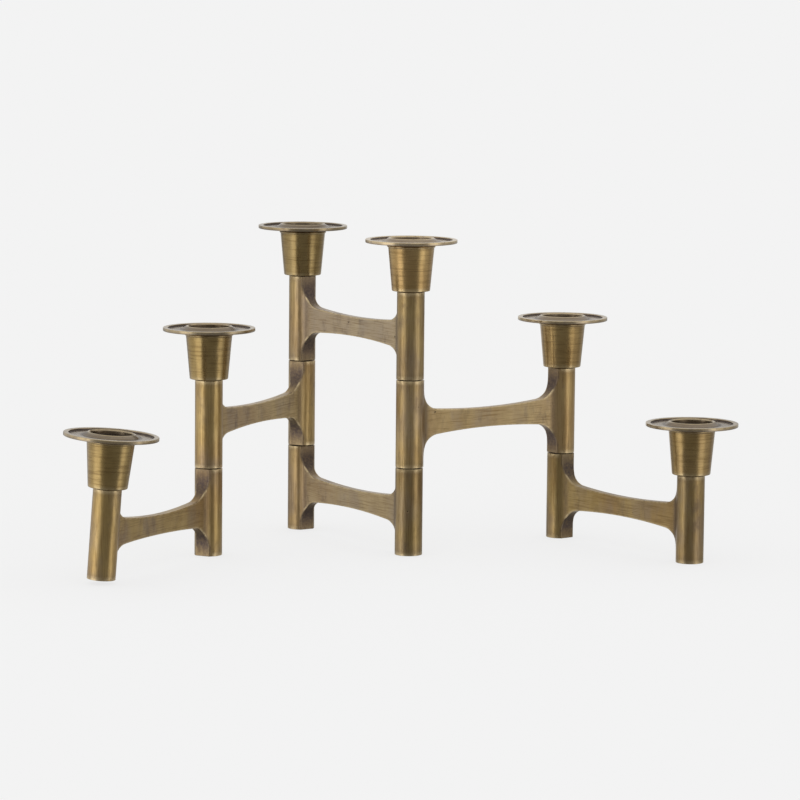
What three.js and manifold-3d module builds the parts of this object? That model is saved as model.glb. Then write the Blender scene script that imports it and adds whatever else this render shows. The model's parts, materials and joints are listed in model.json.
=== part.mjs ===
// Articulated candelabra: six cast H-shaped links stacked and pinned into a chain,
// with a candle cup on top of each of its six posts. Millimetres, +Z up.
// The origin is on the surface it stands on, below the middle of its bounding box.
import * as THREE from "three";
import { mergeVertices } from "three/addons/utils/BufferGeometryUtils.js";
import Module from "manifold-3d";

const wasm = await Module();
wasm.setup();

// Link: two upright barrels joined by a waisted web.
const LINK_LENGTH = 108;
const LEVEL_PITCH = 48;
const SEAM_GAP = 0.5;
const BARREL_RADIUS = 7.5;
const BARREL_HEIGHT = LEVEL_PITCH - SEAM_GAP;
const BARREL_CHAMFER = 0.5;
const WEB_END_HALF_WIDTH = 2.5;
const WEB_WAIST_HALF_WIDTH = 2.1;
const WEB_SIDE_FILLET = 9;
const WEB_WAIST_HALF_HEIGHT = 5.3;
const WEB_RISE = 2.6;
const NOTCH_FILLET = 11;
const NOTCH_WALL = 6.5;

// Headings of the five spans between neighbouring posts, degrees from +X.
const SPAN_HEADINGS = [62.4, 63.3, -56.2, 37.8, -52.1];
// The first link's web is bent up and twisted about its own length, so its outer barrel
// leans and stands clear of the table.
const FIRST_LINK_TWIST = 3.5;
const FIRST_LINK_BEND = 1.9;
const FIRST_POST_CLEARANCE = 1.8;

// Fasteners on each post's axis.
const ROD_RADIUS = 2.5;
const ROD_BORE_RADIUS = 2.8;
const ROD_BOTTOM = 1.3;
const ROD_REACH_INTO_CUP = 4.6;
const NUT_BORE_RADIUS = 2.65;
const NUT_ACROSS_FLATS = 8;
const NUT_HEIGHT = 4;
const NUT_BOTTOM = 1.3;
const NUT_POCKET_RADIUS = 5;
const NUT_POCKET_DEPTH = 5.6;
const WASHER_RADIUS = 5.6;
const WASHER_THICKNESS = 1.2;
const WASHER_CLEARANCE = 0.15;
const WASHER_POCKET_RADIUS = 5.9;
const WASHER_POCKET_DEPTH = 1.0;

// Candle cup: tapered socket with a drip pan round its mouth, heights above its base.
const CUP_BASE_RADIUS = 10.4;
const CUP_BASE_ROUND = 0.8;
const CUP_NECK_RADIUS = 12.5;
const CUP_NECK_HEIGHT = 23.6;
const CUP_RING_RADIUS = 13.1;
const CUP_RING_LIFT = 0.3;
const CUP_RING_TOP = 24.8;
const PAN_RADIUS = 25;
const PAN_EDGE_BOTTOM = 26.1;
const PAN_EDGE_ROUND = 0.4;
const PAN_RIM_TOP = 27.9;
const PAN_RIM_WIDTH = 2.6;
const PAN_RIM_SLOPE = 0.5;
const PAN_FLOOR = 26.7;
const COLLAR_FOOT_RADIUS = 14.8;
const COLLAR_CREST_RADIUS = 12.1;
const COLLAR_CREST_HEIGHT = 28.8;
const SOCKET_MOUTH_RADIUS = 11.25;
const SOCKET_MOUTH_HEIGHT = 28.1;
const SOCKET_FLOOR_RADIUS = 10.15;
const SOCKET_FLOOR_HEIGHT = 8.5;
const CUP_BORE_DEPTH = 5.4;

// Facets.
const BARREL_FACETS = 28;
const FILLET_FACETS = 5;
const NOTCH_FACETS = 6;
const WAIST_STATIONS = 4;
const CUP_FACETS = 32;
const ROUND_FACETS = 16;
// How far a cutting shape runs past the face it cuts through.
const OVERCUT = 1;

const brassLink = new THREE.MeshStandardMaterial({
  color: 0x87704a,
  roughness: 0.42,
  metalness: 0.9,
});
const brassCup = new THREE.MeshStandardMaterial({
  color: 0x8f7a4c,
  roughness: 0.38,
  metalness: 0.9,
});
const steel = new THREE.MeshStandardMaterial({
  color: 0x8c8a84,
  roughness: 0.45,
  metalness: 0.9,
});
const nylon = new THREE.MeshStandardMaterial({
  color: 0x2a2118,
  roughness: 0.75,
  metalness: 0,
});

const radians = THREE.MathUtils.degToRad;

function solidFrom(geometry) {
  const bare = geometry.clone();
  bare.deleteAttribute("normal");
  bare.deleteAttribute("uv");
  const merged = mergeVertices(bare, 1e-4);
  return new wasm.Manifold(
    new wasm.Mesh({
      numProp: 3,
      vertProperties: new Float32Array(merged.attributes.position.array),
      triVerts: new Uint32Array(merged.index.array),
    }),
  );
}

function geometryFrom(solid) {
  const mesh = solid.getMesh();
  const geometry = new THREE.BufferGeometry();
  geometry.setAttribute("position", new THREE.BufferAttribute(mesh.vertProperties, 3));
  geometry.setIndex(new THREE.BufferAttribute(mesh.triVerts, 1));
  return geometry;
}

function finish(geometry, material, name) {
  const flat = geometry.index ? geometry.toNonIndexed() : geometry;
  flat.computeVertexNormals();
  const mesh = new THREE.Mesh(flat, material);
  mesh.name = name;
  return mesh;
}

// An upright cylinder between two heights.
function rod(radius, bottom, top, facets) {
  const geometry = new THREE.CylinderGeometry(radius, radius, top - bottom, facets);
  geometry.rotateX(Math.PI / 2);
  geometry.translate(0, 0, (top + bottom) / 2);
  return geometry;
}

// The web's half height at a distance from its nearer barrel's axis.
function webRise(distance) {
  const half = LINK_LENGTH / 2;
  const toWaist = Math.max(0, half - distance) / (half - BARREL_RADIUS);
  return WEB_WAIST_HALF_HEIGHT + WEB_RISE * toWaist * toWaist;
}

// Half of the link's plan outline, from its right-hand end round to the waist.
function outlineQuarter() {
  const filletCentreY = WEB_END_HALF_WIDTH + WEB_SIDE_FILLET;
  const reach = BARREL_RADIUS + WEB_SIDE_FILLET;
  const filletCentreX = Math.sqrt(reach * reach - filletCentreY * filletCentreY);
  const inward = Math.atan2(filletCentreY, filletCentreX);
  const half = LINK_LENGTH / 2;
  const points = [];
  const arc = Math.PI - inward;
  const arcFacets = Math.round((BARREL_FACETS * arc) / (2 * Math.PI));
  for (let i = 0; i <= arcFacets; i++) {
    const angle = (arc * i) / arcFacets;
    points.push([half + BARREL_RADIUS * Math.cos(angle), BARREL_RADIUS * Math.sin(angle)]);
  }
  for (let i = 1; i <= FILLET_FACETS; i++) {
    const angle = -inward - ((Math.PI / 2 - inward) * i) / FILLET_FACETS;
    points.push([
      half - filletCentreX + WEB_SIDE_FILLET * Math.cos(angle),
      filletCentreY + WEB_SIDE_FILLET * Math.sin(angle),
    ]);
  }
  const webStart = half - filletCentreX;
  for (let i = 1; i <= WAIST_STATIONS; i++) {
    const x = webStart * (1 - i / WAIST_STATIONS);
    const share = (x / webStart) ** 2;
    const y = WEB_WAIST_HALF_WIDTH + (WEB_END_HALF_WIDTH - WEB_WAIST_HALF_WIDTH) * share;
    points.push([x, y]);
  }
  return points;
}

// The link's whole plan outline: two barrel circles blended into the web's sides.
function linkOutline() {
  const quarter = outlineQuarter();
  const left = quarter.slice(0, -1).reverse().map(([x, y]) => [-x, y]);
  const upper = [...quarter, ...left];
  const lower = upper.slice(1, -1).reverse().map(([x, y]) => [x, -y]);
  return [...upper, ...lower].map(([x, y]) => new THREE.Vector2(x, y));
}

// The bay above the web, between the barrels: floor along the web, rounded corners.
function notch() {
  const half = LINK_LENGTH / 2;
  const wallX = half - NOTCH_WALL;
  const right = [];
  for (let i = 1; i <= WAIST_STATIONS; i++) {
    const x = ((wallX - NOTCH_FILLET) * i) / WAIST_STATIONS;
    right.push([x, webRise(half - x)]);
  }
  for (let i = 1; i <= NOTCH_FACETS; i++) {
    const angle = ((Math.PI / 2) * i) / NOTCH_FACETS;
    const x = wallX - NOTCH_FILLET + NOTCH_FILLET * Math.sin(angle);
    right.push([x, webRise(half - x) + NOTCH_FILLET * (1 - Math.cos(angle))]);
  }
  right.push([wallX, BARREL_HEIGHT]);
  const floor = [[0, webRise(half)], ...right];
  const left = floor.slice(1).reverse().map(([x, z]) => [-x, z]);
  const points = [...floor, ...left].map(([x, z]) => new THREE.Vector2(x, z));
  const width = 2 * (BARREL_RADIUS + OVERCUT);
  const geometry = new THREE.ExtrudeGeometry(new THREE.Shape(points), {
    depth: width,
    bevelEnabled: false,
  });
  geometry.translate(0, 0, -width / 2);
  geometry.rotateX(Math.PI / 2);
  return geometry;
}

// One link about its own middle: length along X, barrels upright.
function linkGeometry() {
  const blank = new THREE.ExtrudeGeometry(new THREE.Shape(linkOutline()), {
    depth: BARREL_HEIGHT - 2 * BARREL_CHAMFER,
    bevelEnabled: true,
    bevelThickness: BARREL_CHAMFER,
    bevelSize: BARREL_CHAMFER,
    bevelOffset: -BARREL_CHAMFER,
    bevelSegments: 1,
  });
  blank.translate(0, 0, BARREL_CHAMFER - BARREL_HEIGHT / 2);
  const upperBay = notch();
  const lowerBay = notch();
  lowerBay.rotateX(Math.PI);
  let solid = solidFrom(blank).subtract(solidFrom(upperBay)).subtract(solidFrom(lowerBay));
  const top = BARREL_HEIGHT / 2;
  for (const side of [-1, 1]) {
    const bore = rod(ROD_BORE_RADIUS, -top - OVERCUT, top + OVERCUT, ROUND_FACETS);
    const nutPocket = rod(
      NUT_POCKET_RADIUS,
      -top - OVERCUT,
      NUT_POCKET_DEPTH - top,
      ROUND_FACETS,
    );
    const washerPocket = rod(
      WASHER_POCKET_RADIUS,
      top - WASHER_POCKET_DEPTH,
      top + OVERCUT,
      ROUND_FACETS,
    );
    for (const cut of [bore, nutPocket, washerPocket]) {
      cut.translate((side * LINK_LENGTH) / 2, 0, 0);
      solid = solid.subtract(solidFrom(cut));
    }
  }
  return geometryFrom(solid);
}

// Where the first link's outer barrel goes, seen from that barrel's own middle.
function firstBarrelPlace() {
  const turn = new THREE.Matrix4().makeRotationY(radians(FIRST_LINK_BEND));
  turn.multiply(new THREE.Matrix4().makeRotationX(radians(FIRST_LINK_TWIST)));
  const axis = new THREE.Vector3(0, 0, 1).transformDirection(turn);
  const lean = Math.acos(axis.z);
  const reach = (BARREL_HEIGHT / 2) * Math.cos(lean) + BARREL_RADIUS * Math.sin(lean);
  const rise = reach - BARREL_HEIGHT / 2 + FIRST_POST_CLEARANCE;
  return new THREE.Matrix4().makeTranslation(0, 0, rise).multiply(turn);
}

// Bends and twists a link's web, so that its left-hand barrel takes the given place.
function bent(geometry, place) {
  const positions = geometry.getAttribute("position");
  const barrelX = -LINK_LENGTH / 2;
  const straight = LINK_LENGTH / 2 - BARREL_RADIUS;
  const point = new THREE.Vector3();
  const moved = new THREE.Vector3();
  for (let i = 0; i < positions.count; i++) {
    point.fromBufferAttribute(positions, i);
    moved.copy(point);
    moved.x -= barrelX;
    moved.applyMatrix4(place);
    moved.x += barrelX;
    point.lerp(moved, 1 - THREE.MathUtils.smoothstep(point.x, -straight, straight));
    positions.setXYZ(i, point.x, point.y, point.z);
  }
  return geometry;
}

function candleCupGeometry() {
  const profile = [
    [0, CUP_BORE_DEPTH],
    [ROD_BORE_RADIUS, CUP_BORE_DEPTH],
    [ROD_BORE_RADIUS, 0],
    [CUP_BASE_RADIUS - CUP_BASE_ROUND, 0],
    [CUP_BASE_RADIUS, CUP_BASE_ROUND],
    [CUP_NECK_RADIUS, CUP_NECK_HEIGHT],
    [CUP_RING_RADIUS, CUP_NECK_HEIGHT + CUP_RING_LIFT],
    [CUP_RING_RADIUS, CUP_RING_TOP],
    [PAN_RADIUS - PAN_EDGE_ROUND, PAN_EDGE_BOTTOM],
    [PAN_RADIUS, PAN_EDGE_BOTTOM + PAN_EDGE_ROUND],
    [PAN_RADIUS, PAN_RIM_TOP - PAN_EDGE_ROUND],
    [PAN_RADIUS - PAN_EDGE_ROUND, PAN_RIM_TOP],
    [PAN_RADIUS - PAN_RIM_WIDTH, PAN_RIM_TOP],
    [PAN_RADIUS - PAN_RIM_WIDTH - PAN_RIM_SLOPE, PAN_FLOOR],
    [COLLAR_FOOT_RADIUS, PAN_FLOOR],
    [COLLAR_CREST_RADIUS, COLLAR_CREST_HEIGHT],
    [SOCKET_MOUTH_RADIUS, SOCKET_MOUTH_HEIGHT],
    [SOCKET_FLOOR_RADIUS, SOCKET_FLOOR_HEIGHT],
    [0, SOCKET_FLOOR_HEIGHT],
  ];
  const points = profile.map(([r, z]) => new THREE.Vector2(r, z));
  const geometry = new THREE.LatheGeometry(points, CUP_FACETS);
  geometry.rotateX(Math.PI / 2);
  return geometryFrom(solidFrom(geometry));
}

function washerGeometry() {
  const ring = solidFrom(rod(WASHER_RADIUS, 0, WASHER_THICKNESS, ROUND_FACETS));
  const holeTop = WASHER_THICKNESS + OVERCUT;
  const hole = solidFrom(rod(ROD_BORE_RADIUS, -OVERCUT, holeTop, ROUND_FACETS));
  return geometryFrom(ring.subtract(hole));
}

function nutGeometry() {
  const cornerRadius = NUT_ACROSS_FLATS / 2 / Math.cos(Math.PI / 6);
  const hexagon = solidFrom(rod(cornerRadius, 0, NUT_HEIGHT, 6));
  const holeTop = NUT_HEIGHT + OVERCUT;
  const hole = solidFrom(rod(NUT_BORE_RADIUS, -OVERCUT, holeTop, ROUND_FACETS));
  return geometryFrom(hexagon.subtract(hole));
}

// Plan positions of the six posts, walking from the first along the span headings.
function postPositions() {
  const posts = [new THREE.Vector2(0, 0)];
  for (const heading of SPAN_HEADINGS) {
    const step = new THREE.Vector2(LINK_LENGTH, 0);
    step.rotateAround(new THREE.Vector2(0, 0), radians(heading));
    posts.push(posts[posts.length - 1].clone().add(step));
  }
  return posts;
}

// The level each link lies at, and the span it bridges; spans count from the left.
const LINKS = [
  { name: "link_1", span: 0, level: 0 },
  { name: "link_2", span: 1, level: 1 },
  { name: "link_3", span: 2, level: 2 },
  { name: "link_4", span: 2, level: 0 },
  { name: "link_5", span: 3, level: 1 },
  { name: "link_6", span: 4, level: 0 },
];
// How many barrels are stacked on each post.
const STACKED = [1, 2, 3, 3, 2, 1];

const posts = postPositions();
const candelabra = new THREE.Group();
candelabra.name = "candelabra";

for (const { name, span, level } of LINKS) {
  const from = posts[span];
  const to = posts[span + 1];
  let geometry = linkGeometry();
  if (span === 0) {
    geometry = bent(geometry, firstBarrelPlace());
  }
  const link = finish(geometry, brassLink, name);
  const middle = from.clone().add(to).multiplyScalar(0.5);
  link.position.set(middle.x, middle.y, level * LEVEL_PITCH + BARREL_HEIGHT / 2);
  link.rotation.z = radians(SPAN_HEADINGS[span]);
  candelabra.add(link);
}

for (let i = 0; i < posts.length; i++) {
  const number = i + 1;
  const top = STACKED[i] * LEVEL_PITCH;
  const post = new THREE.Group();
  const washerDrop = WASHER_POCKET_DEPTH + SEAM_GAP - WASHER_CLEARANCE;

  const tieRod = rod(ROD_RADIUS, ROD_BOTTOM, top + ROD_REACH_INTO_CUP, ROUND_FACETS);
  post.add(finish(tieRod, steel, `tie_rod_${number}`));

  const nut = finish(nutGeometry(), steel, `base_nut_${number}`);
  nut.position.z = NUT_BOTTOM;
  post.add(nut);

  for (let seam = 1; seam <= STACKED[i]; seam++) {
    const underCup = seam === STACKED[i];
    const label = underCup ? `cup_washer_${number}` : `seam_washer_${number}_${seam}`;
    const washer = finish(washerGeometry(), nylon, label);
    washer.position.z = seam * LEVEL_PITCH - washerDrop;
    post.add(washer);
  }

  const cup = finish(candleCupGeometry(), brassCup, `candle_cup_${number}`);
  cup.position.z = top;
  post.add(cup);

  // The first post leans with its barrel, about the middle of the link's height.
  if (i === 0) {
    const lean = new THREE.Group();
    const middle = BARREL_HEIGHT / 2;
    for (const piece of [...post.children]) {
      piece.position.z -= middle;
      lean.add(piece);
    }
    const raised = new THREE.Matrix4().makeTranslation(0, 0, middle);
    lean.applyMatrix4(raised.multiply(firstBarrelPlace()));
    post.rotation.z = radians(SPAN_HEADINGS[0]);
    post.add(lean);
  }
  post.position.x = posts[i].x;
  post.position.y = posts[i].y;
  candelabra.add(post);
}

// Centre the whole object over the origin.
candelabra.updateMatrixWorld(true);
const bounds = new THREE.Box3().setFromObject(candelabra, true);
candelabra.position.x = -(bounds.min.x + bounds.max.x) / 2;
candelabra.position.y = -(bounds.min.y + bounds.max.y) / 2;
candelabra.updateMatrixWorld(true);

export default candelabra;
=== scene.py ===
"""Looks for the tabletop candelabra: fine cast links and turned candle cups in antique brass,
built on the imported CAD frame. Metres, +Z up, the row's own frame."""

import json
import math

import bmesh
import bpy
import numpy as np
from mathutils import Matrix, Vector


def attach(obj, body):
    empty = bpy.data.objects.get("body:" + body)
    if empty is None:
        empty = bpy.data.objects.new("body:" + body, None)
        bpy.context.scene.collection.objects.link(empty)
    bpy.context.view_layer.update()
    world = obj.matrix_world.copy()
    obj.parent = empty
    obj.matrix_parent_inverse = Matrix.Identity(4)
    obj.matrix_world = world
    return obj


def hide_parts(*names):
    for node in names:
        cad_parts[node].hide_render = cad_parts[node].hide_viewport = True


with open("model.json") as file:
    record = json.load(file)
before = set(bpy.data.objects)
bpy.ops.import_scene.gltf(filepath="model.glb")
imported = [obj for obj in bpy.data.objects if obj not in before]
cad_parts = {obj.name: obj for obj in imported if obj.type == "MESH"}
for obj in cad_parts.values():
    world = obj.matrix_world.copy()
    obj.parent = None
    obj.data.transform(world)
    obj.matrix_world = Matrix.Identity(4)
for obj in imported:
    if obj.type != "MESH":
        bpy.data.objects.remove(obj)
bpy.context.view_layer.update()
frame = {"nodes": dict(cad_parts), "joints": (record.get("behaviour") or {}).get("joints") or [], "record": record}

MM = 0.001

# Driving sizes of the link, in millimetres along its own length.
LINK_LENGTH = 108.0
HALF_LINK = LINK_LENGTH / 2
BARREL_RADIUS = 7.5
BARREL_HEIGHT = 47.5
LEVEL_PITCH = 48.0
WEB_END_HALF_WIDTH = 2.5
WEB_WAIST_HALF_WIDTH = 2.1
WEB_SIDE_FILLET = 9.0
WEB_WAIST_HALF_HEIGHT = 5.3
WEB_RISE = 2.6
NOTCH_FILLET = 11.0
NOTCH_WALL = 6.5
EDGE_ROUND = 0.55
EDGE_ROUND_STEPS = 3
SHARP_EDGE_DEGREES = 32

# The first link's web is bent up and twisted: degrees, and its outer barrel's clearance.
FIRST_LINK_TWIST = 3.5
FIRST_LINK_BEND = 1.9
FIRST_POST_CLEARANCE = 1.8

# Bores and pockets on each barrel's axis.
ROD_BORE_RADIUS = 2.8
NUT_POCKET_RADIUS = 5.0
NUT_POCKET_DEPTH = 5.6
WASHER_POCKET_RADIUS = 5.9
WASHER_POCKET_DEPTH = 1.0

# Candle cup, heights above its base.
CUP_BASE_RADIUS = 10.4
CUP_BASE_ROUND = 0.6
CUP_NECK_RADIUS = 12.5
CUP_NECK_HEIGHT = 23.6
PAN_RADIUS = 24.9
PAN_UNDERSIDE = 25.3
PAN_EDGE_BOTTOM = 26.1
PAN_RIM_TOP = 27.9
PAN_RIM_WIDTH = 2.6
PAN_FLOOR = 26.8
COLLAR_FOOT_RADIUS = 14.8
COLLAR_CREST_RADIUS = 12.0
COLLAR_CREST_HEIGHT = 28.8
SOCKET_MOUTH_RADIUS = 11.25
SOCKET_MOUTH_HEIGHT = 28.1
SOCKET_FLOOR_RADIUS = 10.15
SOCKET_FLOOR_HEIGHT = 8.5
CUP_BORE_DEPTH = 5.4
BORE_LIP = 0.4
NECK_RING_ROUND = 0.55
PAN_FLARE = 1.2
RIM_EDGE_ROUND = 0.3
RIM_INNER_ROUND = 0.25
RIM_FOOT_ROUND = 0.45
COLLAR_CREST_ROUND = 0.4
SOCKET_FLOOR_ROUND = 0.6
CUP_SIDES = 128


# ---------------------------------------------------------------- placing

def joint(name):
    return next(j for j in frame["joints"] if j["name"] == name)


def body_of_node(node):
    return next(b for b, nodes in frame["record"]["behaviour"]["bodies"].items() if node in nodes)


def cup_matrix(number):
    """Where a cup's base sits: on its post's axis, with the lean of the first post."""
    turn = joint(f"cup_screw_{number}")
    axis = Vector(turn["axis"]).normalized()
    lean = Vector((0, 0, 1)).rotation_difference(axis)
    return Matrix.Translation(Vector(turn["pos_m"])) @ lean.to_matrix().to_4x4()


def post_point(number, height):
    """The point at a height on a post's axis."""
    turn = joint(f"cup_screw_{number}")
    axis = Vector(turn["axis"])
    base = Vector(turn["pos_m"])
    return base + axis * ((height - base.z) / axis.z)


def first_barrel_place():
    """Where the first link's outer barrel goes, in millimetres from that barrel's own middle."""
    bend = Matrix.Rotation(math.radians(FIRST_LINK_BEND), 4, "Y")
    turn = bend @ Matrix.Rotation(math.radians(FIRST_LINK_TWIST), 4, "X")
    axis = turn @ Vector((0, 0, 1))
    lean = math.acos(axis.z)
    reach = BARREL_HEIGHT / 2 * math.cos(lean) + BARREL_RADIUS * math.sin(lean)
    rise = reach - BARREL_HEIGHT / 2 + FIRST_POST_CLEARANCE
    return Matrix.Translation((0, 0, rise)) @ turn


def first_link_heading():
    """The first link's heading, from where its leaning barrel carries its cup."""
    cup = first_barrel_place() @ Vector((0, 0, LEVEL_PITCH - BARREL_HEIGHT / 2))
    cup.x -= LINK_LENGTH
    seen = Vector(joint("cup_screw_1")["pos_m"]) - post_point(2, 0)
    return math.atan2(seen.y, seen.x) - math.atan2(cup.y, cup.x)


# ---------------------------------------------------------------- meshes

def mesh_object(name, points, faces, scale=MM):
    mesh = bpy.data.meshes.new(name)
    mesh.from_pydata([tuple(c * scale for c in p) for p in points], [], faces)
    mesh.validate()
    made = bpy.data.objects.new(name, mesh)
    bpy.context.scene.collection.objects.link(made)
    work = bmesh.new()
    work.from_mesh(mesh)
    bmesh.ops.remove_doubles(work, verts=work.verts, dist=1e-7)
    bmesh.ops.recalc_face_normals(work, faces=work.faces)
    work.to_mesh(mesh)
    work.free()
    return made


def apply_modifiers(made):
    graph = bpy.context.evaluated_depsgraph_get()
    mesh = bpy.data.meshes.new_from_object(made.evaluated_get(graph), depsgraph=graph)
    made.modifiers.clear()
    made.data = mesh
    return made


def mark_sharp(mesh, degrees):
    work = bmesh.new()
    work.from_mesh(mesh)
    for edge in work.edges:
        if len(edge.link_faces) == 2:
            edge.smooth = edge.calc_face_angle() < math.radians(degrees)
    for face in work.faces:
        face.smooth = True
    work.to_mesh(mesh)
    work.free()


def paint(mesh, name, values):
    layer = mesh.attributes.new(name, "FLOAT", "POINT")
    layer.data.foreach_set("value", np.asarray(values, np.float32))


# ---------------------------------------------------------------- link

FILLET_CENTRE_Y = WEB_END_HALF_WIDTH + WEB_SIDE_FILLET
FILLET_REACH = BARREL_RADIUS + WEB_SIDE_FILLET
FILLET_CENTRE_X = math.sqrt(FILLET_REACH**2 - FILLET_CENTRE_Y**2)
WEB_START = HALF_LINK - FILLET_CENTRE_X
WALL_X = HALF_LINK - NOTCH_WALL


def web_half_width(x):
    """Half the link's thickness at a distance along it from its middle, inside the bay."""
    x = abs(x)
    if x <= WEB_START:
        share = (x / WEB_START) ** 2
        return WEB_WAIST_HALF_WIDTH + (WEB_END_HALF_WIDTH - WEB_WAIST_HALF_WIDTH) * share
    return FILLET_CENTRE_Y - math.sqrt(WEB_SIDE_FILLET**2 - (x - WEB_START) ** 2)


def web_half_height(x):
    """Half the web's height there: a gentle rise from the waist and a round corner."""
    x = min(abs(x), WALL_X)
    share = x / (HALF_LINK - BARREL_RADIUS)
    rise = WEB_WAIST_HALF_HEIGHT + WEB_RISE * min(share, 1.0) ** 2
    into = max(0.0, x - (WALL_X - NOTCH_FILLET))
    return rise + NOTCH_FILLET - math.sqrt(NOTCH_FILLET**2 - into**2)


def bay_stations():
    """Distances along the link, from the right-hand bay wall to the left-hand one."""
    round_steps, web_steps = 16, 10
    right = []
    for i in range(round_steps):
        angle = math.pi / 2 * (1 - i / round_steps)
        right.append(WALL_X - NOTCH_FILLET + NOTCH_FILLET * math.sin(angle))
    flat = WALL_X - NOTCH_FILLET
    right += [flat * (1 - i / web_steps) for i in range(web_steps)]
    return right + [0.0] + [-x for x in reversed(right)]


def barrel_arc():
    """The right-hand barrel's outline from its outermost point to the bay wall, y up."""
    arc_steps, fillet_steps = 40, 4
    inward = math.atan2(FILLET_CENTRE_Y, FILLET_CENTRE_X)
    arc = [(math.pi - inward) * i / arc_steps for i in range(arc_steps + 1)]
    points = [(HALF_LINK + BARREL_RADIUS * math.cos(a), BARREL_RADIUS * math.sin(a)) for a in arc]
    start_x = points[-1][0]
    for i in range(1, fillet_steps):
        x = start_x + (WALL_X - start_x) * i / fillet_steps
        points.append((x, web_half_width(x)))
    return points


class Grid:
    """Collects points and faces for one mesh; equal points are welded afterwards."""

    def __init__(self):
        self.points = []
        self.faces = []

    def rows(self, rows, closed=False):
        """Quads between neighbouring rows of equally many points."""
        start = len(self.points)
        width = len(rows[0])
        for row in rows:
            self.points += row
        last = width if closed else width - 1
        for i in range(len(rows) - 1):
            for k in range(last):
                a = start + i * width + k
                b = start + i * width + (k + 1) % width
                self.faces.append((a, b, b + width, a + width))


def link_shape():
    """One straight link about its own middle, in millimetres: walls, bays, tops and bores."""
    grid = Grid()
    top = BARREL_HEIGHT / 2
    shoulder = web_half_height(WALL_X)
    main_rows, extra_rows, cross_rows = 12, 2, 8
    bay = bay_stations()
    arc = barrel_arc()
    wall_y = web_half_width(WALL_X)
    outer = arc + [(WALL_X, wall_y)]

    main = [2 * i / main_rows - 1 for i in range(main_rows + 1)]
    extra = [shoulder + (top - shoulder) * i / extra_rows for i in range(extra_rows + 1)]
    cross = [1 - 2 * i / cross_rows for i in range(cross_rows + 1)]

    for side in (1, -1):
        grid.rows([[(x, side * web_half_width(x), web_half_height(x) * t) for t in main] for x in bay])
        for end in (1, -1):
            columns = [(end * x, side * y) for x, y in outer]
            for low in (1, -1):
                grid.rows([[(x, y, low * z) for z in extra] for x, y in columns])
            grid.rows([[(x, y, shoulder * t) for t in main] for x, y in columns])
    for up in (1, -1):
        grid.rows([[(x, web_half_width(x) * c, up * web_half_height(x)) for c in cross] for x in bay])
        for end in (1, -1):
            grid.rows([[(end * WALL_X, wall_y * c, up * z) for c in cross] for z in extra])

    loop = [(x, y) for x, y in reversed(arc[1:])]
    loop = [(WALL_X, wall_y)] + loop + [(arc[0][0], arc[0][1])] + [(x, -y) for x, y in arc[1:]]
    loop += [(WALL_X, -wall_y * c) for c in cross[:-1]]
    angles = [math.atan2(y, x - HALF_LINK) for x, y in loop]

    def ring(radius, z, end):
        return [(end * (HALF_LINK + radius * math.cos(a)), radius * math.sin(a), z) for a in angles]

    for end in (1, -1):
        rim = [[(end * x, y, top) for x, y in loop]]
        rim.append(ring(WASHER_POCKET_RADIUS, top, end))
        rim.append(ring(WASHER_POCKET_RADIUS, top - WASHER_POCKET_DEPTH, end))
        rim.append(ring(ROD_BORE_RADIUS, top - WASHER_POCKET_DEPTH, end))
        rim.append(ring(ROD_BORE_RADIUS, NUT_POCKET_DEPTH - top, end))
        rim.append(ring(NUT_POCKET_RADIUS, NUT_POCKET_DEPTH - top, end))
        rim.append(ring(NUT_POCKET_RADIUS, -top, end))
        rim.append([(end * x, y, -top) for x, y in loop])
        grid.rows(rim, closed=True)
    return grid


def bend_mesh(mesh):
    """Bends and twists the web, so that the left-hand barrel takes its place."""
    place = first_barrel_place()
    barrel = Vector((-HALF_LINK, 0, 0))
    straight = HALF_LINK - BARREL_RADIUS
    for vert in mesh.vertices:
        point = vert.co / MM
        t = min(max((point.x + straight) / (2 * straight), 0.0), 1.0)
        share = 1 - t * t * (3 - 2 * t)
        vert.co = point.lerp(place @ (point - barrel) + barrel, share) * MM


def outer_edges(mesh):
    """Bevel weights: the link's outside edges, not those of its bores and pockets."""
    work = bmesh.new()
    work.from_mesh(mesh)
    weights = []
    for edge in work.edges:
        sharp = len(edge.link_faces) == 2 and edge.calc_face_angle() > math.radians(SHARP_EDGE_DEGREES)
        far = True
        for vert in edge.verts:
            away = math.hypot(abs(vert.co.x) - HALF_LINK * MM, vert.co.y)
            far = far and away > (WASHER_POCKET_RADIUS + 0.3) * MM
        weights.append(1.0 if sharp and far else 0.0)
    work.free()
    layer = mesh.attributes.new("bevel_weight_edge", "FLOAT", "EDGE")
    layer.data.foreach_set("value", weights)


def smooth_share(value, low, high):
    """0 at low, 1 at high, with a soft start and end."""
    share = min(max((value - low) / (high - low), 0.0), 1.0)
    return share * share * (3 - 2 * share)


# How far the patina and painted shade run on a link, in millimetres, and how dark they get there, 0 to 1.
COVE_MIDDLE = (WEB_START + HALF_LINK - BARREL_RADIUS) / 2 + 1.0
COVE_SPREAD = 2.0
COVE_DARKNESS = 0.6
BARREL_END_REACH = 5.0
BARREL_END_DARKNESS = 0.35
BAY_EDGE_REACH = 1.4
BAY_WALL_DARKNESS = 0.70
BAY_CORNER_EXTRA = 0.30
BAY_EDGE_WEAR = 0.2


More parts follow.
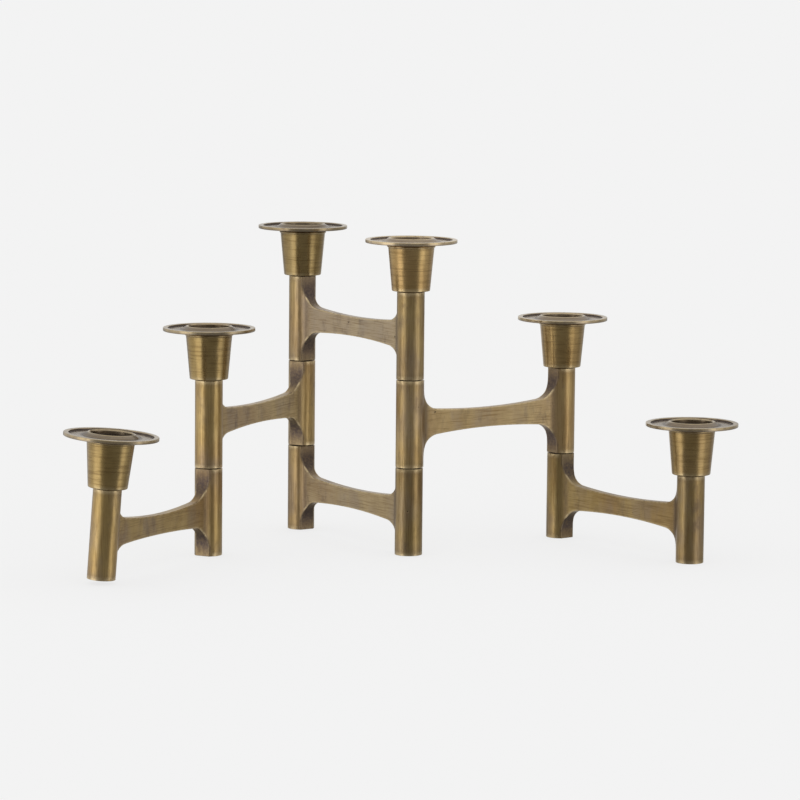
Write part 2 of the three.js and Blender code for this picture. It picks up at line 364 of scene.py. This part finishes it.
def link_patina_and_shade(x, y, z):
    """How dark it is painted: patina at barrel ends, patina and painted shade in side coves and bays."""
    along = abs(x) / MM
    up = abs(z) / MM
    top = BARREL_HEIGHT / 2
    side = COVE_DARKNESS * math.exp(-(((along - COVE_MIDDLE) / COVE_SPREAD) ** 2))
    ends = BARREL_END_DARKNESS * smooth_share(up, top - BARREL_END_REACH, top)
    inside = smooth_share(along, WALL_X + BAY_EDGE_REACH, WALL_X + 0.1)
    corner = smooth_share(along, WALL_X - NOTCH_FILLET, WALL_X - 1.0)
    skin = smooth_share(up, web_half_height(along) - 0.8, web_half_height(along) - 0.1)
    depth = smooth_share(up, top - 2.0, web_half_height(WALL_X) - 2.0)
    wall = BAY_WALL_DARKNESS + BAY_CORNER_EXTRA * depth
    return max(side, ends, inside * corner * skin * wall)


def edge_wear(x, z):
    """How bright an outside edge is rubbed, 0 to 1: less round the bay walls than elsewhere."""
    along = abs(x) / MM
    up = abs(z) / MM
    in_bay = along < WALL_X + BAY_EDGE_REACH and up > web_half_height(WALL_X - 2.0)
    return BAY_EDGE_WEAR if in_bay else 1.0


# How deep each casting's colour came out, and how grey its web is.
LINK_DEPTHS = {1: 1.0, 2: 1.06, 3: 0.90, 4: 0.82, 5: 1.10, 6: 0.80}
LINK_GREYNESS = {1: 0.0, 2: 0.15, 3: 0.50, 4: 0.25, 5: 0.20, 6: 0.0}


def make_link(number, level, posts):
    name = f"link_{number}"
    shape = link_shape()
    made = mesh_object(f"cast_{name}", shape.points, shape.faces)
    outer_edges(made.data)
    bevel = made.modifiers.new("edges", "BEVEL")
    bevel.limit_method = "WEIGHT"
    bevel.width = EDGE_ROUND * MM
    bevel.segments = EDGE_ROUND_STEPS
    made.data.materials.append(None)
    made.data.materials.append(None)
    bevel.material = 1
    apply_modifiers(made)
    mesh = made.data
    worn_and_lit = np.zeros(len(mesh.vertices))
    for face in mesh.polygons:
        if face.material_index == 1:
            for index in face.vertices:
                worn_and_lit[index] = edge_wear(mesh.vertices[index].co.x, mesh.vertices[index].co.z)
        face.material_index = 0
    mesh.materials.clear()
    # Worn edges, and patina with painted shade in the coves and bays, as vertex attributes.
    paint(mesh, "wear_and_highlight", worn_and_lit)
    paint(mesh, "patina_and_painted_shade", [link_patina_and_shade(*v.co) for v in mesh.vertices])
    if number == 1:
        bend_mesh(mesh)
    mark_sharp(mesh, 40)

    middle = (level * LEVEL_PITCH + BARREL_HEIGHT / 2) * MM
    end = post_point(posts[1], middle)
    if number == 1:
        heading = first_link_heading()
    else:
        span = end - post_point(posts[0], middle)
        heading = math.atan2(span.y, span.x)
    turn = Matrix.Rotation(heading, 4, "Z")
    centre = end - turn @ Vector((HALF_LINK * MM, 0, 0))
    made.matrix_world = Matrix.Translation(centre) @ turn
    made["grain_seed"] = 13.7 * number
    made["depth"] = LINK_DEPTHS[number]
    made["greyness"] = LINK_GREYNESS[number]
    made.data.materials.append(brass_cast)
    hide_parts(name)
    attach(made, body_of_node(name))
    return made


# ---------------------------------------------------------------- candle cup

def arc_points(centre, radius, start, stop, steps):
    """Points on a circle in the profile's plane, angles in degrees from the outward axis."""
    turns = [math.radians(start + (stop - start) * i / steps) for i in range(steps + 1)]
    return [(centre[0] + radius * math.cos(a), centre[1] + radius * math.sin(a)) for a in turns]


def cup_profile():
    """(radius, height, rubbing and painted highlight, patina and painted shade) from the bore under the cup to the
    socket's floor.
    """
    outline = []

    def run(points, worn_and_lit=0.0, shade_and_patina=0.0):
        outline.extend((r, z, worn_and_lit, shade_and_patina) for r, z in points)

    def line(start, stop, steps, worn_and_lit=0.0, shade_and_patina=0.0):
        """The points between two ends, without the ends."""
        for i in range(1, steps):
            share = i / steps
            radius = start[0] + (stop[0] - start[0]) * share
            height = start[1] + (stop[1] - start[1]) * share
            run([(radius, height)], worn_and_lit, shade_and_patina)

    # The underside and the bore for the tie rod, both in painted shade.
    base_round = CUP_BASE_ROUND
    lip = (ROD_BORE_RADIUS + BORE_LIP, 0.0)
    run([(0.0, CUP_BORE_DEPTH), (ROD_BORE_RADIUS, CUP_BORE_DEPTH)], shade_and_patina=1.0)
    run([(ROD_BORE_RADIUS, 0.0)], shade_and_patina=1.0)
    run([lip], shade_and_patina=0.8)
    line(lip, (CUP_BASE_RADIUS - base_round, 0.0), 6, shade_and_patina=0.5)
    run(arc_points((CUP_BASE_RADIUS - base_round, base_round), base_round, -90, 0, 6), worn_and_lit=0.8)

    # The tapered side up to the neck, darkening into painted shadow under the pan, and the small ring there.
    neck = (CUP_NECK_RADIUS, CUP_NECK_HEIGHT)
    below = 0.985
    widening = (CUP_NECK_RADIUS - CUP_BASE_RADIUS) * below
    ring = NECK_RING_ROUND
    line((CUP_BASE_RADIUS, base_round), neck, 14)
    run([(CUP_BASE_RADIUS + widening, CUP_NECK_HEIGHT * below)], shade_and_patina=0.2)
    run([neck], shade_and_patina=0.55)
    run(arc_points((neck[0] + 0.05, neck[1] + ring), ring, -80, 60, 6), worn_and_lit=0.5, shade_and_patina=0.2)

    # The pan's underside, in painted shade, and its rim, whose top edge is lightened by wear and a painted
    # highlight.
    edge = RIM_EDGE_ROUND
    flare = (CUP_NECK_RADIUS + PAN_FLARE, PAN_UNDERSIDE)
    rim_x = PAN_RADIUS - edge
    run([(CUP_NECK_RADIUS + 0.5, PAN_UNDERSIDE - 0.5)], shade_and_patina=0.45)
    run([flare], shade_and_patina=0.4)
    line(flare, (rim_x, PAN_EDGE_BOTTOM), 6, shade_and_patina=0.3)
    run(arc_points((rim_x, PAN_EDGE_BOTTOM + edge), edge, -85, 0, 4), worn_and_lit=0.1, shade_and_patina=0.35)
    run(arc_points((rim_x, PAN_RIM_TOP - edge), edge, 0, 90, 4), worn_and_lit=1.0)

    # The dish inside the rim: the rim's top and inner edge lightened by wear and a painted highlight, painted
    # shade on the rim's inner wall and at its foot.
    inner = PAN_RADIUS - PAN_RIM_WIDTH
    small = RIM_INNER_ROUND
    line((rim_x, PAN_RIM_TOP), (inner + small, PAN_RIM_TOP), 3, worn_and_lit=0.7)
    run(arc_points((inner + 0.2, PAN_RIM_TOP - small), small, 90, 170, 3), worn_and_lit=0.8)
    run([(inner - 0.06, PAN_RIM_TOP - 0.35)], shade_and_patina=0.9)
    run([(inner - 0.15, PAN_FLOOR + small), (inner - RIM_FOOT_ROUND, PAN_FLOOR)], shade_and_patina=1.0)
    dish_end = (COLLAR_FOOT_RADIUS + 0.6, PAN_FLOOR)
    line((inner - RIM_FOOT_ROUND, PAN_FLOOR), dish_end, 5, shade_and_patina=0.1)

    # The collar round the candle's socket: painted shade at its foot and on its slope, wear and a painted
    # highlight on its crest.
    foot = (COLLAR_FOOT_RADIUS, PAN_FLOOR + 0.15)
    shoulder = (COLLAR_CREST_RADIUS + 0.4, COLLAR_CREST_HEIGHT - 0.12)
    crest = COLLAR_CREST_ROUND
    run([(COLLAR_FOOT_RADIUS + 0.5, PAN_FLOOR), foot], shade_and_patina=0.8)
    line(foot, shoulder, 6, shade_and_patina=0.4)
    run(arc_points((COLLAR_CREST_RADIUS, COLLAR_CREST_HEIGHT - crest), crest, 60, 150, 5), worn_and_lit=1.0)

    # The tapered socket and its flat floor, in painted shade.
    mouth = (SOCKET_MOUTH_RADIUS, SOCKET_MOUTH_HEIGHT)
    low = SOCKET_FLOOR_HEIGHT + SOCKET_FLOOR_ROUND
    floor_x = SOCKET_FLOOR_RADIUS - SOCKET_FLOOR_ROUND
    run([mouth], worn_and_lit=0.2, shade_and_patina=0.2)
    run([(SOCKET_MOUTH_RADIUS - 0.08, SOCKET_MOUTH_HEIGHT - 1.4)], shade_and_patina=0.5)
    line(mouth, (SOCKET_FLOOR_RADIUS, low), 10, shade_and_patina=0.95)
    run(arc_points((floor_x, low), SOCKET_FLOOR_ROUND, 0, -90, 4), shade_and_patina=1.0)
    line((floor_x, SOCKET_FLOOR_HEIGHT), (0.0, SOCKET_FLOOR_HEIGHT), 5, shade_and_patina=0.8)
    run([(0.0, SOCKET_FLOOR_HEIGHT)], shade_and_patina=0.8)
    return outline


# How deep the colour of each cup came out.
CUP_DEPTHS = {1: 0.74, 2: 0.74, 3: 0.66, 4: 1.02, 5: 0.85, 6: 0.80}


def make_cup(number):
    name = f"candle_cup_{number}"
    profile = cup_profile()
    turns = [2 * math.pi * k / CUP_SIDES for k in range(CUP_SIDES)]
    grid = Grid()
    rings = [[(r * math.cos(a), r * math.sin(a), z) for a in turns] for r, z, _, _ in profile]
    grid.rows(rings, closed=True)
    made = mesh_object(f"turned_{name}", grid.points, grid.faces)
    mesh = made.data
    shades = {}
    for radius, height, worn_and_lit, shade_and_patina in profile:
        shades[(round(radius, 3), round(height, 3))] = (worn_and_lit, shade_and_patina)
    across = [math.hypot(v.co.x, v.co.y) / MM for v in mesh.vertices]
    climb = [v.co.z / MM for v in mesh.vertices]
    marks = [shades.get((round(r, 3), round(z, 3)), (0.0, 0.0)) for r, z in zip(across, climb)]
    # The edge lightening is wear with a painted highlight; the darkening is patina with painted shade.
    paint(mesh, "wear_and_highlight", [worn_and_lit for worn_and_lit, _ in marks])
    paint(mesh, "patina_and_painted_shade", [shade_and_patina for _, shade_and_patina in marks])
    paint(mesh, "across", across)
    paint(mesh, "climb", climb)
    mark_sharp(mesh, 35)
    place = cup_matrix(number)
    mesh.transform(place.to_3x3().to_4x4())
    made.matrix_world = Matrix.Translation(place.translation)
    made["grain_seed"] = 31.3 * number
    made["depth"] = CUP_DEPTHS[number]
    made.data.materials.append(brass_turned)
    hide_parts(name)
    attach(made, f"cup_{number}")
    return made


# ---------------------------------------------------------------- materials

class Shader:
    """A material's node tree, with short calls for the nodes used here."""

    def __init__(self, name):
        self.material = bpy.data.materials.new(name)
        self.material.use_nodes = True
        self.tree = self.material.node_tree
        self.surface = self.tree.nodes["Principled BSDF"]

    def node(self, kind, settings=None, **inputs):
        made = self.tree.nodes.new(kind)
        for key, value in (settings or {}).items():
            setattr(made, key, value)
        for key, value in inputs.items():
            numbered = key[0] == "i" and key[1:].isdigit()
            self.feed(made.inputs[int(key[1:]) if numbered else key], value)
        return made

    def feed(self, socket, value):
        if isinstance(value, bpy.types.NodeSocket):
            self.tree.links.new(value, socket)
        else:
            socket.default_value = value

    def math(self, operation, a, b=0.0):
        return self.node("ShaderNodeMath", {"operation": operation}, i0=a, i1=b).outputs[0]

    def vector(self, operation, a, b):
        return self.node("ShaderNodeVectorMath", {"operation": operation}, i0=a, i1=b).outputs[0]

    def noise(self, vector, scale, detail=3.0, roughness=0.55):
        made = self.node("ShaderNodeTexNoise", None, Vector=vector, Scale=scale)
        self.feed(made.inputs["Detail"], detail)
        self.feed(made.inputs["Roughness"], roughness)
        return made.outputs["Fac"]

    def ramp(self, value, low, high, bottom=0.0, top=1.0):
        made = self.node("ShaderNodeMapRange", {"interpolation_type": "SMOOTHSTEP"}, Value=value)
        made.inputs["From Min"].default_value = low
        made.inputs["From Max"].default_value = high
        made.inputs["To Min"].default_value = bottom
        made.inputs["To Max"].default_value = top
        return made.outputs[0]

    def mix(self, share, a, b):
        made = self.node("ShaderNodeMix", {"data_type": "RGBA"})
        self.feed(made.inputs[0], share)
        self.feed(made.inputs[6], a)
        self.feed(made.inputs[7], b)
        return made.outputs[2]

    def blend(self, share, a, b):
        made = self.node("ShaderNodeMix", {"data_type": "FLOAT"})
        self.feed(made.inputs[0], share)
        self.feed(made.inputs[2], a)
        self.feed(made.inputs[3], b)
        return made.outputs[0]

    def attribute(self, name, kind="GEOMETRY"):
        settings = {"attribute_name": name, "attribute_type": kind}
        return self.node("ShaderNodeAttribute", settings).outputs["Fac"]

    def combine(self, x, y, z):
        return self.node("ShaderNodeCombineXYZ", None, X=x, Y=y, Z=z).outputs[0]

    def along_x(self, vector):
        return self.node("ShaderNodeSeparateXYZ", None, Vector=vector).outputs[0]

    def millimetres(self):
        """The piece's own coordinates, in millimetres."""
        held = self.node("ShaderNodeTexCoord").outputs["Object"]
        return self.vector("MULTIPLY", held, (1 / MM,) * 3)

    def bump(self, height, strength, distance, normal=None):
        made = self.node("ShaderNodeBump", None, Height=height, Strength=strength, Distance=distance)
        if normal is not None:
            self.feed(made.inputs["Normal"], normal)
        return made.outputs[0]


BRASS_LIGHT = (0.49, 0.352, 0.150, 1)
BRASS_MID = (0.39, 0.270, 0.106, 1)
BRASS_DARK = (0.22, 0.138, 0.052, 1)
BRASS_RED = (0.36, 0.228, 0.100, 1)
# The dark patina colour also paints shade in hollows; the worn-edge colour also paints highlights on the cups'
# rims and crests.
PATINA_AND_SHADE_DARK = (0.080, 0.057, 0.050, 1)
PATINA_PALE = (0.47, 0.405, 0.330, 1)
PATINA_GREY = (0.31, 0.245, 0.190, 1)
WORN_EDGE_AND_HIGHLIGHT = (0.66, 0.52, 0.30, 1)
PIT = (0.03, 0.02, 0.01, 1)


def antique_brass(name, brushing, greying, gloss_range, grey_share, pit_share):
    """Aged brass. brushing gives the fine brush lines' height and greying the pale film, 0 to 1."""
    shader = Shader(name)
    place = shader.millimetres()
    seed = shader.attribute("grain_seed", "OBJECT")
    moved = shader.vector("ADD", place, shader.combine(seed, seed, seed))
    drawn = shader.vector("MULTIPLY", moved, (1.0, 1.0, 0.45))

    lines = brushing(shader, place, moved)
    patches = shader.noise(drawn, 0.09, 4.0, 0.6)
    broad = shader.noise(drawn, 0.03, 2.0)
    fine = shader.noise(moved, 0.8, 3.0, 0.6)
    # Patina with painted shade in the hollows, and wear with a painted highlight on edges, from the vertex
    # attributes.
    shade_and_patina = shader.attribute("patina_and_painted_shade")
    worn_and_lit = shader.attribute("wear_and_highlight")

    tone = shader.mix(shader.ramp(patches, 0.34, 0.66), BRASS_MID, BRASS_LIGHT)
    tone = shader.mix(shader.ramp(broad, 0.42, 0.66, 0.0, 0.6), tone, BRASS_RED)
    grey = shader.ramp(shader.noise(drawn, 0.07, 3.0, 0.6), 0.44, 0.70, 0.0, grey_share)
    tone = shader.mix(grey, tone, PATINA_GREY)
    tone = shader.mix(greying(shader, place), tone, PATINA_PALE)
    tone = shader.mix(shader.ramp(lines, 0.46, 0.66, 0.0, 0.60), tone, BRASS_DARK)
    # Patina and painted shade in the hollows, joined by real stains, darken the colour.
    patina_shade_and_stain = shader.math("MULTIPLY", shade_and_patina, shader.ramp(fine, 0.25, 0.7, 0.75, 1.0))
    stain = shader.ramp(shader.noise(drawn, 0.13, 5.0, 0.7), 0.50, 0.76, 0.0, 1.2 * grey_share)
    patina_shade_and_stain = shader.math("MAXIMUM", patina_shade_and_stain, stain)
    tone = shader.mix(patina_shade_and_stain, tone, PATINA_AND_SHADE_DARK)
    # Worn edges, with a painted highlight on the cups' rims and collar crests, lighten it.
    rubbed = shader.ramp(shader.noise(moved, 0.35, 3.0), 0.30, 0.60, 0.15, 0.8)
    rub_and_highlight = shader.math("MULTIPLY", worn_and_lit, rubbed)
    tone = shader.mix(rub_and_highlight, tone, WORN_EDGE_AND_HIGHLIGHT)
    depth = shader.attribute("depth", "OBJECT")
    tone = shader.vector("MULTIPLY", tone, shader.combine(depth, depth, depth))

    cells = shader.node("ShaderNodeTexVoronoi", {"feature": "F1"}, Vector=moved, Scale=0.13)
    lot = shader.node("ShaderNodeSeparateColor", None, Color=cells.outputs["Color"]).outputs[0]
    near = shader.ramp(cells.outputs["Distance"], 0.03, 0.09, 1.0, 0.0)
    pits = shader.math("MULTIPLY", near, shader.ramp(lot, 0.78, 0.82, 0.0, pit_share))
    tone = shader.mix(shader.math("MULTIPLY", pits, 0.85), tone, PIT)
    shader.feed(shader.surface.inputs["Base Color"], tone)

    gloss = shader.ramp(lines, 0.2, 0.8, gloss_range[0], gloss_range[1])
    gloss = shader.blend(shader.math("MAXIMUM", patina_shade_and_stain, grey), gloss, gloss_range[1] + 0.10)
    gloss = shader.blend(rub_and_highlight, gloss, gloss_range[0])
    shader.feed(shader.surface.inputs["Roughness"], gloss)
    shader.feed(shader.surface.inputs["Metallic"], shader.blend(patina_shade_and_stain, 1.0, 0.8))

    normal = shader.bump(shader.noise(moved, 0.10, 2.0), 0.25, 1.2 * MM)
    normal = shader.bump(lines, 0.28, 0.08 * MM, normal)
    normal = shader.bump(fine, 0.10, 0.10 * MM, normal)
    normal = shader.bump(shader.math("MULTIPLY", pits, -1.0), 0.8, 0.3 * MM, normal)
    shader.feed(shader.surface.inputs["Normal"], normal)
    return shader.material


def link_brushing(shader, place, moved):
    """Lines up and down the barrels, and along the web between them."""
    upright = shader.noise(shader.vector("MULTIPLY", moved, (1.9, 1.9, 0.05)), 1.0, 4.0, 0.6)
    along = shader.noise(shader.vector("MULTIPLY", moved, (0.05, 1.9, 1.9)), 1.0, 4.0, 0.6)
    distance = shader.math("ABSOLUTE", shader.along_x(place))
    return shader.blend(shader.ramp(distance, WEB_START, WALL_X), along, upright)


def web_greying(shader, place):
    """The pale grey film on a link's web, as strong as the link says."""
    distance = shader.math("ABSOLUTE", shader.along_x(place))
    strength = shader.attribute("greyness", "OBJECT")
    return shader.math("MULTIPLY", strength, shader.ramp(distance, WEB_START - 4.0, HALF_LINK, 1.0, 0.15))


def pan_greying(shader, place):
    """The pale grey film on a cup's drip pan."""
    return shader.ramp(shader.attribute("climb"), CUP_NECK_HEIGHT, PAN_EDGE_BOTTOM, 0.0, 0.65)


def turned_brushing(shader, place, moved):
    """Fine rings round the cup, as a lathe and a brush leave them."""
    seed = shader.attribute("grain_seed", "OBJECT")
    rings = shader.math("ADD", shader.math("MULTIPLY", shader.attribute("across"), 3.2), seed)
    climb = shader.math("MULTIPLY", shader.attribute("climb"), 1.4)
    side = shader.math("MULTIPLY", shader.along_x(place), 0.07)
    return shader.noise(shader.combine(rings, side, climb), 1.0, 4.0, 0.6)


def plain_steel():
    shader = Shader("zinc_steel")
    place = shader.millimetres()
    turning = shader.noise(shader.vector("MULTIPLY", place, (0.4, 0.4, 3.0)), 1.0, 3.0)
    spots = shader.noise(place, 0.8, 4.0)
    tone = shader.mix(shader.ramp(spots, 0.4, 0.7), (0.52, 0.50, 0.46, 1), (0.30, 0.28, 0.25, 1))
    shader.feed(shader.surface.inputs["Base Color"], tone)
    shader.surface.inputs["Metallic"].default_value = 1.0
    shader.feed(shader.surface.inputs["Roughness"], shader.ramp(turning, 0.2, 0.8, 0.28, 0.5))
    shader.feed(shader.surface.inputs["Normal"], shader.bump(turning, 0.3, 0.1 * MM))
    return shader.material


def dark_nylon():
    shader = Shader("dark_nylon")
    place = shader.millimetres()
    grain = shader.noise(place, 1.6, 4.0)
    tone = shader.mix(shader.ramp(grain, 0.35, 0.7), (0.020, 0.014, 0.008, 1), (0.045, 0.033, 0.020, 1))
    shader.feed(shader.surface.inputs["Base Color"], tone)
    shader.feed(shader.surface.inputs["Roughness"], shader.ramp(grain, 0.3, 0.7, 0.6, 0.85))
    shader.feed(shader.surface.inputs["Normal"], shader.bump(grain, 0.2, 0.1 * MM))
    return shader.material


brass_cast = antique_brass(
    "antique_brass_cast", link_brushing, web_greying,
    gloss_range=(0.27, 0.38), grey_share=0.45, pit_share=1.0)
brass_turned = antique_brass(
    "antique_brass_turned", turned_brushing, pan_greying,
    gloss_range=(0.20, 0.28), grey_share=0.12, pit_share=0.0)
steel = plain_steel()
nylon = dark_nylon()

# ---------------------------------------------------------------- the object

# Each link's level on its posts, and the two posts.
LINKS = {
    1: (0, (1, 2)),
    2: (1, (2, 3)),
    3: (2, (3, 4)),
    4: (0, (3, 4)),
    5: (1, (4, 5)),
    6: (0, (5, 6)),
}
for number, (level, posts) in LINKS.items():
    make_link(number, level, posts)
for number in range(1, 7):
    make_cup(number)

FINISHES = {"tie_rod": steel, "base_nut": steel, "cup_washer": nylon, "seam_washer": nylon}
for name, node in frame["nodes"].items():
    for start, material in FINISHES.items():
        if name.startswith(start):
            for held in node.material_slots:
                held.material = material


# ---------------------------------------------------------------- studio

# The floor's half size and height in metres, and its paleness: the part that takes a soft
# shadow, and the part that glows evenly.
FLOOR_REACH = 20.0
FLOOR_HEIGHT = -0.0002
FLOOR_SHADED = 0.14
FLOOR_GLOW = 0.756


def studio_floor():
    corners = [(-1, -1), (1, -1), (1, 1), (-1, 1)]
    points = [(x * FLOOR_REACH, y * FLOOR_REACH, FLOOR_HEIGHT) for x, y in corners]
    floor = mesh_object("studio_floor", points, [(0, 1, 2, 3)], 1.0)
    shader = Shader("pale_paper")
    shader.surface.inputs["Base Color"].default_value = (FLOOR_SHADED,) * 3 + (1,)
    shader.surface.inputs["Emission Color"].default_value = (1, 1, 1, 1)
    shader.surface.inputs["Emission Strength"].default_value = FLOOR_GLOW
    shader.surface.inputs["Roughness"].default_value = 0.9
    shader.surface.inputs["Specular IOR Level"].default_value = 0.0
    floor.data.materials.append(shader.material)
    floor.visible_glossy = False


# The tent's brightness round the object: degrees from the camera's side, positive to the right.
TENT_BANDS = [
    (-180, 0.85), (-160, 0.75), (-140, 0.40), (-128, 0.80), (-95, 0.95), (-80, 1.05),
    (-70, 1.75), (-52, 1.75), (-42, 0.42), (-30, 0.30), (0, 0.27), (34, 0.27),
    (44, 0.50), (52, 1.35), (68, 1.35), (76, 0.75), (96, 0.62), (108, 0.42),
    (135, 0.60), (150, 0.45), (165, 0.75), (180, 0.85),
]
TENT_RADIUS = 0.62
TENT_BOTTOM = -0.7
TENT_TOP = 1.0
TENT_ROOF_LIGHT = 0.85
TENT_GROUND_LIGHT = 0.30
TENT_ROOF_FADE = (0.15, 0.55)
TENT_GROUND_FADE = (-0.60, -0.30)
TENT_SIDES = 96
TENT_AXIS_GAP = 0.001


def reflection_tent():
    """A drum of soft panels and dark flags round the object that only reflections see."""
    turns = [2 * math.pi * k / TENT_SIDES for k in range(TENT_SIDES)]
    outline = [(TENT_AXIS_GAP, TENT_BOTTOM), (TENT_RADIUS, TENT_BOTTOM)]
    outline += [(TENT_RADIUS, TENT_TOP), (TENT_AXIS_GAP, TENT_TOP)]
    grid = Grid()
    grid.rows([[(r * math.cos(a), r * math.sin(a), z) for a in turns] for r, z in outline], closed=True)
    tent = mesh_object("reflection_tent", grid.points, grid.faces, 1.0)
    shader = Shader("tent_panels")
    held = shader.node("ShaderNodeTexCoord").outputs["Object"]
    parts = shader.node("ShaderNodeSeparateXYZ", None, Vector=held)
    toward = shader.math("MULTIPLY", parts.outputs[1], -1.0)
    turn = shader.math("DIVIDE", shader.math("ARCTAN2", parts.outputs[0], toward), 2 * math.pi)
    bands = shader.node("ShaderNodeValToRGB")
    elements = bands.color_ramp.elements
    while len(elements) < len(TENT_BANDS):
        elements.new(0.5)
    for element, (angle, value) in zip(elements, TENT_BANDS):
        element.position = (angle + 180) / 360
        element.color = (value, value, value, 1)
    shader.feed(bands.inputs[0], shader.math("ADD", turn, 0.5))
    above = shader.ramp(parts.outputs[2], *TENT_ROOF_FADE)
    below = shader.ramp(parts.outputs[2], *TENT_GROUND_FADE, 1.0, 0.0)
    roof = (TENT_ROOF_LIGHT,) * 3 + (1,)
    ground = (TENT_GROUND_LIGHT,) * 3 + (1,)
    light = shader.mix(below, shader.mix(above, bands.outputs[0], roof), ground)
    glow = shader.node("ShaderNodeEmission", None, Color=light, Strength=1.0)
    output = shader.tree.nodes["Material Output"]
    shader.tree.links.new(glow.outputs[0], output.inputs["Surface"])
    tent.data.materials.append(shader.material)
    tent.visible_camera = False
    tent.visible_diffuse = False
    tent.visible_shadow = False
    tent.visible_transmission = False


def room_light():
    world = bpy.data.worlds.new("studio")
    bpy.context.scene.world = world
    world.use_nodes = True
    sky = world.node_tree.nodes["Background"]
    sky.inputs["Color"].default_value = (1.0, 1.0, 1.0, 1)
    sky.inputs["Strength"].default_value = 1.0


# The viewpoint: two metres off, a little above the cups, with a long lens. Metres and degrees.
CAMERA_PLACE = (-0.0205, -2.1581, 0.3527)
CAMERA_DOWN = 7.064
CAMERA_RIGHT = 0.445
CAMERA_ROLL = 0.549
CAMERA_LENS_MM = 181.11
CAMERA_SENSOR_MM = 36.0


def camera():
    lens = bpy.data.cameras.new("camera")
    lens.sensor_width = CAMERA_SENSOR_MM
    lens.lens = CAMERA_LENS_MM
    lens.clip_end = 100.0
    made = bpy.data.objects.new("camera", lens)
    bpy.context.scene.collection.objects.link(made)
    heading = Matrix.Rotation(math.radians(-CAMERA_RIGHT), 4, "Z")
    pitch = Matrix.Rotation(math.radians(90 - CAMERA_DOWN), 4, "X")
    roll = Matrix.Rotation(math.radians(CAMERA_ROLL), 4, "Z")
    made.matrix_world = Matrix.Translation(CAMERA_PLACE) @ heading @ pitch @ roll
    bpy.context.scene.camera = made


studio_floor()
reflection_tent()
room_light()
camera()
bpy.context.scene.view_settings.view_transform = "Standard"
